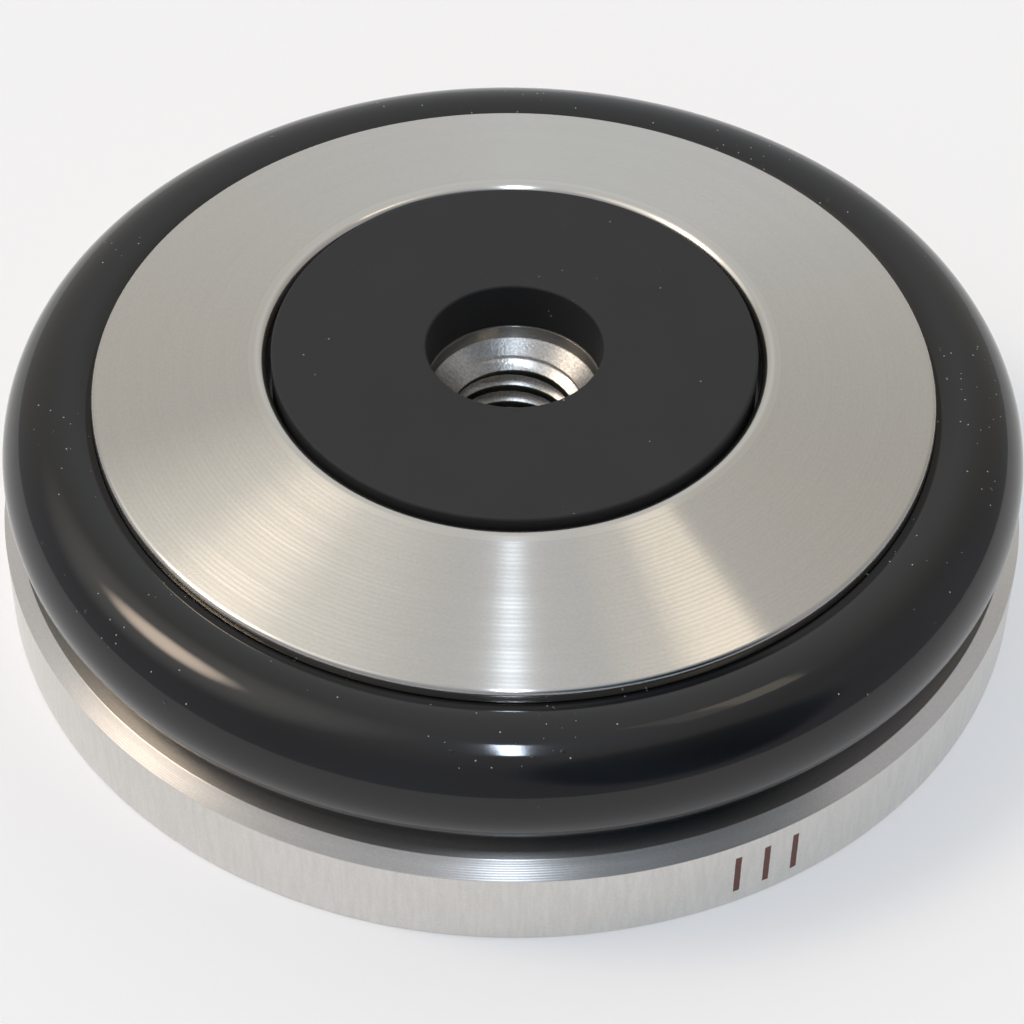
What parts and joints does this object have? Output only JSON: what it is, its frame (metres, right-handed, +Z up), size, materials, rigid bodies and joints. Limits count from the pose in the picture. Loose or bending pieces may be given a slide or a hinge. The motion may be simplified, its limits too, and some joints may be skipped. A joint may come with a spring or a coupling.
{
  "type": "tamper foot",
  "caption": "Round steel pressing foot with a shallow cone, a rubber O-ring round its groove, a flat centre pad and a tapped hole for a handle stud.",
  "frame": {"origin": "centre of the flat underside, on the axis of the foot", "axes": "+Z up along the axis of the foot, out of the mouth of the tapped hole; X and Y in the plane of the underside, with the etched mark towards +X and -Y"},
  "size_m": [0.057, 0.057, 0.015],
  "materials": {
    "turned_steel": "fine circular turning marks on the cone, satin land",
    "ring_rubber": "semi-gloss black",
    "pad_plastic": "matt dark grey"
  },
  "bodies": {
    "foot": {"steel_foot": "turned_steel", "o_ring": "ring_rubber"},
    "pad": {"centre_pad": "pad_plastic"}
  },
  "joints": [
    {"name": "pad_lift", "type": "slide", "parent": "foot", "child": "pad", "axis": [0, 0, 1], "range_m": [0, 0.005]}
  ]
}
